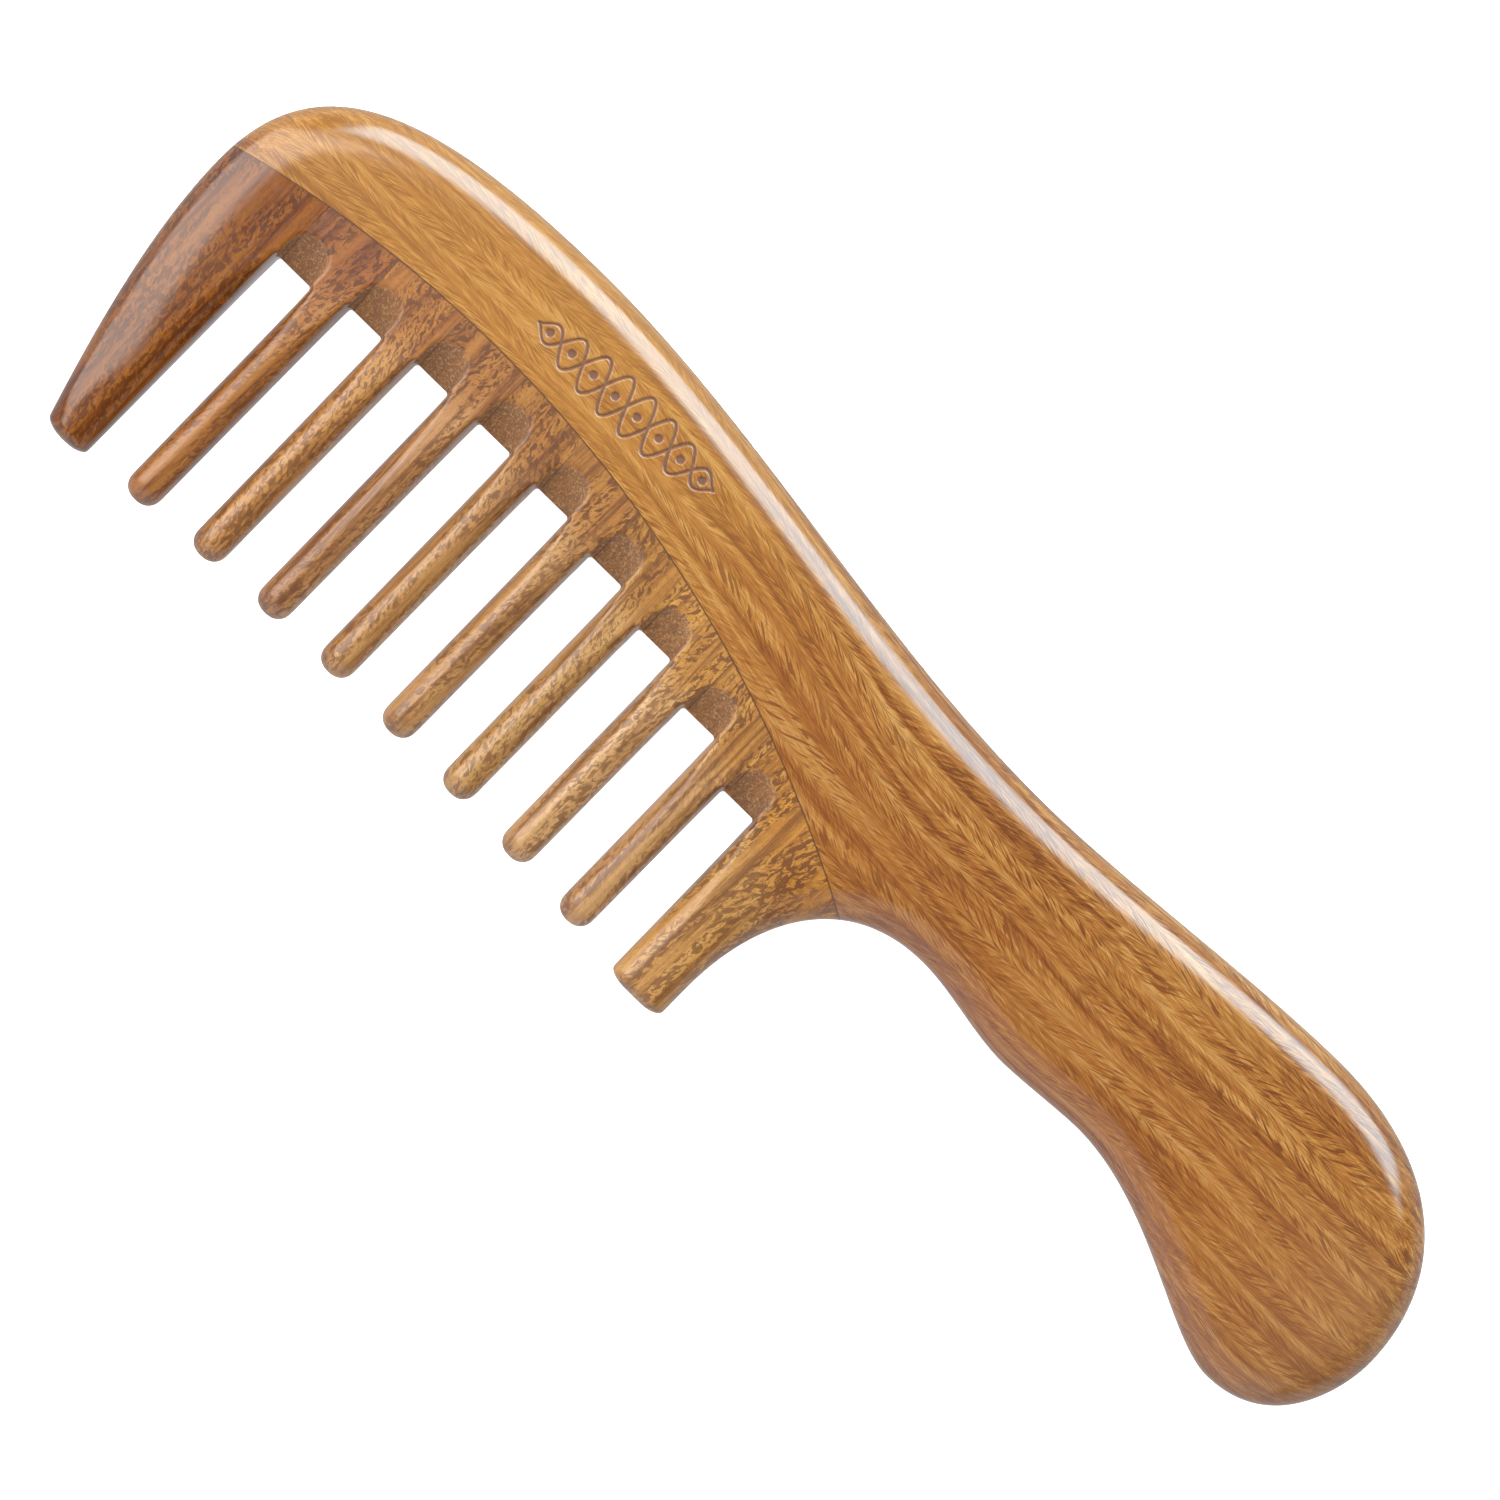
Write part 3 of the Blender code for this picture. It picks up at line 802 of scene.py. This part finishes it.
class Graph:
    """A material's nodes, with short calls for those that the wood needs. Lengths are in mm."""

    def __init__(self, name):
        self.material = bpy.data.materials.new(name)
        self.material.use_nodes = True
        tree = self.material.node_tree
        self.nodes, self.links = tree.nodes, tree.links
        self.shader = self.nodes["Principled BSDF"]
        place = self.nodes.new("ShaderNodeTexCoord").outputs["Object"]
        scaled = self.node("ShaderNodeVectorMath", [place, None, None, 1 / MM], operation="SCALE")
        split = self.nodes.new("ShaderNodeSeparateXYZ")
        self.links.new(scaled, split.inputs[0])
        self.x, self.y, self.z = split.outputs

    def node(self, kind, inputs, output=0, **settings):
        node = self.nodes.new(kind)
        for name, value in settings.items():
            setattr(node, name, value)
        for socket, value in zip(node.inputs, inputs):
            self.feed(socket, value)
        return node.outputs[output]

    def feed(self, socket, value):
        if isinstance(value, bpy.types.NodeSocket):
            self.links.new(value, socket)
        elif value is not None:
            socket.default_value = value

    def math(self, operation, *values):
        return self.node("ShaderNodeMath", values, operation=operation)

    def add(self, a, b):
        return self.math("ADD", a, b)

    def times(self, a, b):
        return self.math("MULTIPLY", a, b)

    def subtract(self, a, b):
        return self.math("SUBTRACT", a, b)

    def weighted(self, parts, shift):
        """The sum of values times their weights, less a shift."""
        total = self.times(*parts[0])
        for value, weight in parts[1:]:
            total = self.add(total, self.times(value, weight))
        return self.subtract(total, shift)

    def noise(self, axes, figure):
        """Smooth noise around 0.5 along three axes."""
        scales, detail, roughness, distortion = figure
        scaled = [self.times(axis, scale) for axis, scale in zip(axes, scales)]
        place = self.node("ShaderNodeCombineXYZ", scaled)
        node = self.nodes.new("ShaderNodeTexNoise")
        self.links.new(place, node.inputs["Vector"])
        node.inputs["Scale"].default_value = 1.0
        node.inputs["Detail"].default_value = detail
        node.inputs["Roughness"].default_value = roughness
        node.inputs["Distortion"].default_value = distortion
        return node.outputs[0]

    def span(self, value, low, high, start=0.0, end=1.0):
        """start below low, end above high, and a smooth step between."""
        kind = "ShaderNodeMapRange"
        inputs = [value, low, high, start, end]
        if low > high:
            inputs = [value, high, low, end, start]
        return self.node(kind, inputs, interpolation_type="SMOOTHSTEP")

    def tint(self, colour, patch, up):
        """Mixes in a colour where x and another height are within a patch."""
        along_range, up_range, share, tint = patch
        inside = self.times(self.span(self.x, *along_range), self.span(up, *up_range))
        return self.mix(self.times(inside, share), colour, tint)

    def mix(self, share, a, b, blend="MIX"):
        node = self.nodes.new("ShaderNodeMix")
        node.data_type = "RGBA"
        node.blend_type = blend
        self.feed(node.inputs[0], share)
        self.feed(node.inputs[6], as_colour(a))
        self.feed(node.inputs[7], as_colour(b))
        return node.outputs[2]

    def ramp(self, value, stops):
        node = self.nodes.new("ShaderNodeValToRGB")
        self.links.new(value, node.inputs[0])
        elements = node.color_ramp.elements
        for _ in stops[2:]:
            elements.new(0.5)
        for element, (place, colour) in zip(elements, stops):
            element.position = place
            element.color = (*colour, 1.0)
        return node.outputs[0]

    def stored(self, name):
        node = self.nodes.new("ShaderNodeAttribute")
        node.attribute_name = name
        return node.outputs["Fac"]

    def bump(self, height, distance):
        node = self.nodes.new("ShaderNodeBump")
        node.inputs["Strength"].default_value = 1.0
        node.inputs["Distance"].default_value = distance * MM
        self.links.new(height, node.inputs["Height"])
        self.links.new(node.outputs[0], self.shader.inputs["Normal"])

    def finish(self, colour, roughness):
        self.links.new(colour, self.shader.inputs["Base Color"])
        self.links.new(roughness, self.shader.inputs["Roughness"])
        self.shader.inputs["Specular IOR Level"].default_value = FINISH_SPECULAR
        self.shader.inputs["IOR"].default_value = FINISH_IOR
        return self.material


def as_colour(value):
    return (*value, 1.0) if isinstance(value, tuple) else value


def joint_height(g):
    """Height over the joint arc, as nodes."""
    peak_x, peak_y, radius = JOINT_ARC
    across = g.subtract(g.x, peak_x)
    rise = g.math("SQRT", g.subtract(radius**2, g.times(across, across)))
    return g.subtract(g.subtract(g.y, rise), peak_y - radius)


def near_line(g, distance):
    """1 on a glue line and 0 away from it."""
    return g.span(g.math("ABSOLUTE", distance), GLUE_REACH, GLUE_REACH * GLUE_CORE)


def fibre_roughness(g, fibres, roughness):
    """The finish's roughness, a little uneven along the fibres."""
    return g.add(g.times(g.subtract(fibres, 0.5), FIBRE_ROUGHNESS), roughness)


def plank_wood():
    """Lengthwise wood with a feathered ribbon figure."""
    g = Graph("plank_wood")
    flow = g.span(g.x, *FLOW)
    turn = g.span(g.y, *RIM_TURN)
    level = g.add(g.add(g.y, flow), g.times(g.subtract(g.z, MIDDLE), turn))
    sway = g.noise((g.x, level, g.z), PLANK_SWAY)
    level = g.add(level, g.times(g.subtract(sway, 0.5), SWAY_SIZE))
    ridge = g.math("PINGPONG", level, RIDGE_PITCH)
    fold = g.math("ARCCOSINE", g.subtract(1.0, g.times(ridge, 2.0 / RIDGE_PITCH)))
    feather = g.add(g.times(g.x, FEATHER_ALONG), g.times(fold, FEATHER_ACROSS))
    fibres = g.noise((g.x, level, g.z), PLANK_FIBRES)
    tone = g.weighted([
        (g.noise((feather, g.x, level), PLANK_STROKES), STROKE_WEIGHT),
        (g.noise((feather, g.x, g.z), PLANK_HAIRS), HAIR_WEIGHT),
        (g.noise((g.x, level, g.z), PLANK_STREAKS), STREAK_WEIGHT),
        (fibres, FIBRE_WEIGHT),
        (g.noise((g.x, level, g.z), PLANK_PATCHES), PATCH_WEIGHT),
    ], PLANK_TONE_SHIFT)
    tone = g.add(tone, g.span(ridge, *PALE_RIDGE))
    tone = g.add(tone, g.span(ridge, *DARK_RIDGE))
    colour = g.ramp(tone, PLANK_COLOURS)

    dashes = g.noise((feather, g.x, level), PLANK_DASHES)
    crowd = g.noise((g.x, level, CROWD_SLICE), PLANK_CROWD)
    pores = g.times(g.span(dashes, *PORE_EDGE), g.span(crowd, *PORE_CROWD))
    colour = g.mix(g.times(pores, PORE_SHARE), colour, PORE_COLOUR)
    colour = g.tint(colour, GOLDEN, g.y)
    colour = g.tint(colour, REDDER, level)
    colour = g.tint(colour, DULLER, g.y)
    engraved = g.stored("engraved")
    colour = g.mix(g.times(near_line(g, joint_height(g)), JOINT_SHARE), colour, GLUE_COLOUR)
    colour = g.mix(g.times(engraved, BURNT_SHARE), colour, BURNT_COLOUR)
    rough = fibre_roughness(g, fibres, PLANK_ROUGHNESS)
    rough = g.add(rough, g.times(engraved, ENGRAVED_ROUGHNESS))
    g.bump(fibres, PLANK_BUMP)
    return g.finish(colour, rough)


def shaded(colour, shade):
    return tuple(part * share for part, share in zip(colour, shade))


def tooth_flecks(g, number, across, density):
    """Slanted dark marks and specks, crowded in bands down the tooth."""
    seed = TOOTH_SEED * number
    bends = g.noise((g.x, g.y, seed), TOOTH_BENDS)
    slant = g.add(across, g.times(g.y, MARK_SLANT * (-1) ** number))
    slant = g.add(slant, g.times(bends, BEND_SIZE))
    marks = g.noise((slant, g.y, g.z), TOOTH_MARKS)
    specks = g.noise((slant, g.y, g.z), TOOTH_SPECKS)
    crowd = g.span(g.noise((across, g.y, seed), TOOTH_CROWD), *CROWD_EDGE)
    marks = g.span(marks, density, density + MARK_EDGE)
    marks = g.times(marks, g.span(crowd, 0.0, 1.0, *MARK_SHARES))
    specks = g.times(g.span(specks, *SPECK_EDGE), g.span(crowd, 0.0, 1.0, *SPECK_SHARES))
    return g.math("MAXIMUM", marks, g.times(specks, SPECK_DEPTH))


def tooth_wood(number):
    """Wood with its grain down the tooth, dark flecks, and raw sanded scoops."""
    main, contrast, density = TOOTH_TONES[number]
    g = Graph(f"tooth_wood_{number}")
    seed = TOOTH_SEED * number
    lean = g.times(g.y, GRAIN_LEAN * math.sin(seed))
    across = g.add(g.add(g.x, lean), seed)
    fibres = g.noise((across, g.y, g.z), TOOTH_FIBRES)
    tone = g.weighted([
        (g.noise((across, g.y, g.z), TOOTH_BANDS), BAND_WEIGHT),
        (g.noise((across, g.y, g.z), TOOTH_STREAKS), TOOTH_STREAK_WEIGHT),
        (fibres, TOOTH_FIBRE_WEIGHT),
    ], TOOTH_TONE_SHIFT)
    tones = (shaded(main, DARK_SHADE), main, shaded(main, PALE_SHADE))
    colour = g.ramp(tone, list(zip(TONE_STOPS, tones)))

    web = g.span(joint_height(g), *WEB_HEIGHTS)
    depth = g.add(contrast, g.times(web, WEB_FLECKS))
    flecks = tooth_flecks(g, number, across, density)
    colour = g.mix(g.times(flecks, depth), colour, shaded(main, FLECK_SHADE))
    place = number / (TEETH + 1)
    shade = tuple(lerp(a, b, place) for a, b in zip(WEB_SHADE_FRONT, WEB_SHADE_REAR))
    share = WEB_SHARE if number > 0 else FRONT_WEB_SHARE
    colour = g.mix(g.times(web, share), colour, shade, "MULTIPLY")

    raw = g.stored("scoop")
    speckles = g.noise((g.x, g.y, g.z), SCOOP_SPECKLES)
    dusty = g.mix(g.span(speckles, *DUST_EDGE), DUST_DARK, DUST_PALE)
    colour = g.mix(g.times(raw, DUST_SHARE), colour, dusty)
    lines = [(joint_height(g), JOINT_SHARE)]
    if number > 0:
        lines.append((g.subtract(g.x, seam(number)), SEAM_SHARE))
    if number <= TEETH:
        lines.append((g.subtract(g.x, seam(number + 1)), SEAM_SHARE))
    for distance, share in lines:
        colour = g.mix(g.times(near_line(g, distance), share), colour, GLUE_COLOUR)
    gloss = TOOTH_ROUGHNESS if number > 0 else FRONT_ROUGHNESS
    rough = fibre_roughness(g, fibres, gloss)
    rough = g.add(rough, g.times(raw, RAW_ROUGHNESS - gloss))
    g.bump(fibres, TOOTH_BUMP)
    return g.finish(colour, rough)


# ---- Camera, floor and light ---------------------------------------------------------------------


def add_camera():
    data = bpy.data.cameras.new("camera")
    data.type = "PERSP"
    data.sensor_width = SENSOR
    data.lens = SENSOR * CAMERA_RANGE / VIEW_WIDTH
    camera = bpy.data.objects.new("camera", data)
    camera.location = (CAMERA_SPOT[0] * MM, CAMERA_SPOT[1] * MM, (MIDDLE + CAMERA_RANGE) * MM)
    camera.rotation_euler = (0.0, 0.0, CAMERA_TURN)
    bpy.context.scene.collection.objects.link(camera)
    bpy.context.scene.camera = camera


def add_floor():
    """A pale floor that neither lights the comb nor shows in its finish."""
    bpy.ops.mesh.primitive_plane_add(size=FLOOR_SIZE, location=(0, 0, -FLOOR_GAP * MM))
    floor = bpy.context.object
    floor.name = "floor"
    material = bpy.data.materials.new("pale_floor")
    material.use_nodes = True
    shader = material.node_tree.nodes["Principled BSDF"]
    shader.inputs["Base Color"].default_value = (FLOOR_SHADE, FLOOR_SHADE, FLOOR_SHADE, 1.0)
    shader.inputs["Roughness"].default_value = FLOOR_ROUGHNESS
    shader.inputs["Specular IOR Level"].default_value = 0.0
    shader.inputs["Emission Color"].default_value = (1.0, 1.0, 1.0, 1.0)
    shader.inputs["Emission Strength"].default_value = FLOOR_GLOW
    floor.data.materials.append(material)
    floor.visible_diffuse = False
    floor.visible_glossy = False


def add_softbox(name, azimuth, elevation, reach, size, power, colour, shows):
    """A rectangular light aimed at the comb."""
    data = bpy.data.lights.new(name, "AREA")
    data.shape = "RECTANGLE"
    data.size, data.size_y = size
    data.energy = power
    data.color = colour
    light = bpy.data.objects.new(name, data)
    a, e = math.radians(azimuth), math.radians(elevation)
    light.location = (
        reach * math.cos(e) * math.cos(a), reach * math.cos(e) * math.sin(a), reach * math.sin(e)
    )
    light.rotation_euler = (math.pi / 2 - e, 0.0, a + math.pi / 2)
    light.visible_glossy = shows
    bpy.context.scene.collection.objects.link(light)


def add_world():
    """A plain room that is darker overhead."""
    world = bpy.data.worlds.new("soft_room")
    world.use_nodes = True
    nodes, links = world.node_tree.nodes, world.node_tree.links
    place = nodes.new("ShaderNodeTexCoord").outputs["Generated"]
    split = nodes.new("ShaderNodeSeparateXYZ")
    height = nodes.new("ShaderNodeMapRange")
    for socket, value in zip(height.inputs[1:5], (*ROOM_HEIGHTS, ROOM_LOW, ROOM_OVERHEAD)):
        socket.default_value = value
    links.new(place, split.inputs[0])
    links.new(split.outputs[2], height.inputs[0])
    links.new(height.outputs[0], nodes["Background"].inputs["Strength"])
    nodes["Background"].inputs["Color"].default_value = (1.0, 1.0, 1.0, 1.0)
    bpy.context.scene.world = world


add_camera()
add_floor()
add_world()
for softbox in SOFTBOXES:
    add_softbox(*softbox)
bpy.context.scene.view_settings.view_transform = "Standard"

make_pieces()
